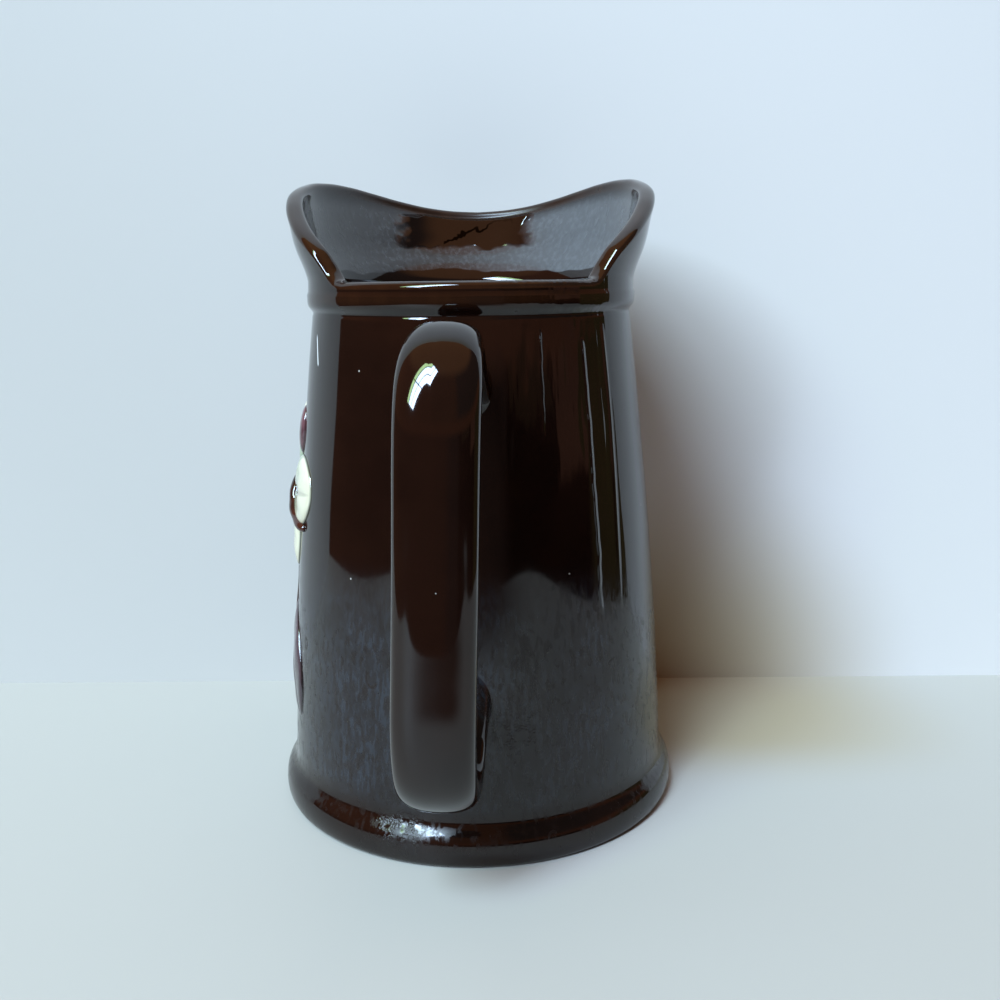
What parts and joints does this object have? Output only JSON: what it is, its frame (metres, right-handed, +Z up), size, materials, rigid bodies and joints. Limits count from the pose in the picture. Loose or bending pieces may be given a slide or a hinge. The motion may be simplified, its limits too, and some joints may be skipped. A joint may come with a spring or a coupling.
{
  "type": "pitcher",
  "caption": "Tapered glazed pitcher with a flared lip, a low rim over the strap handle, a ridged band, a rounded foot ring and a raised flower spray on one side.",
  "frame": {"origin": "centre of the flat underside, on the axis of the tapered body, where it rests on a table", "axes": "+Z up, the lip towards +Y, the handle towards -Y and the relief spray on the -X side"},
  "size_m": [0.1318, 0.1792, 0.2009],
  "materials": {
    "brown_glaze": "very glossy treacle-brown glaze, near black where thick"
  },
  "bodies": {
    "root": {"pitcher": "brown_glaze"}
  },
  "joints": []
}
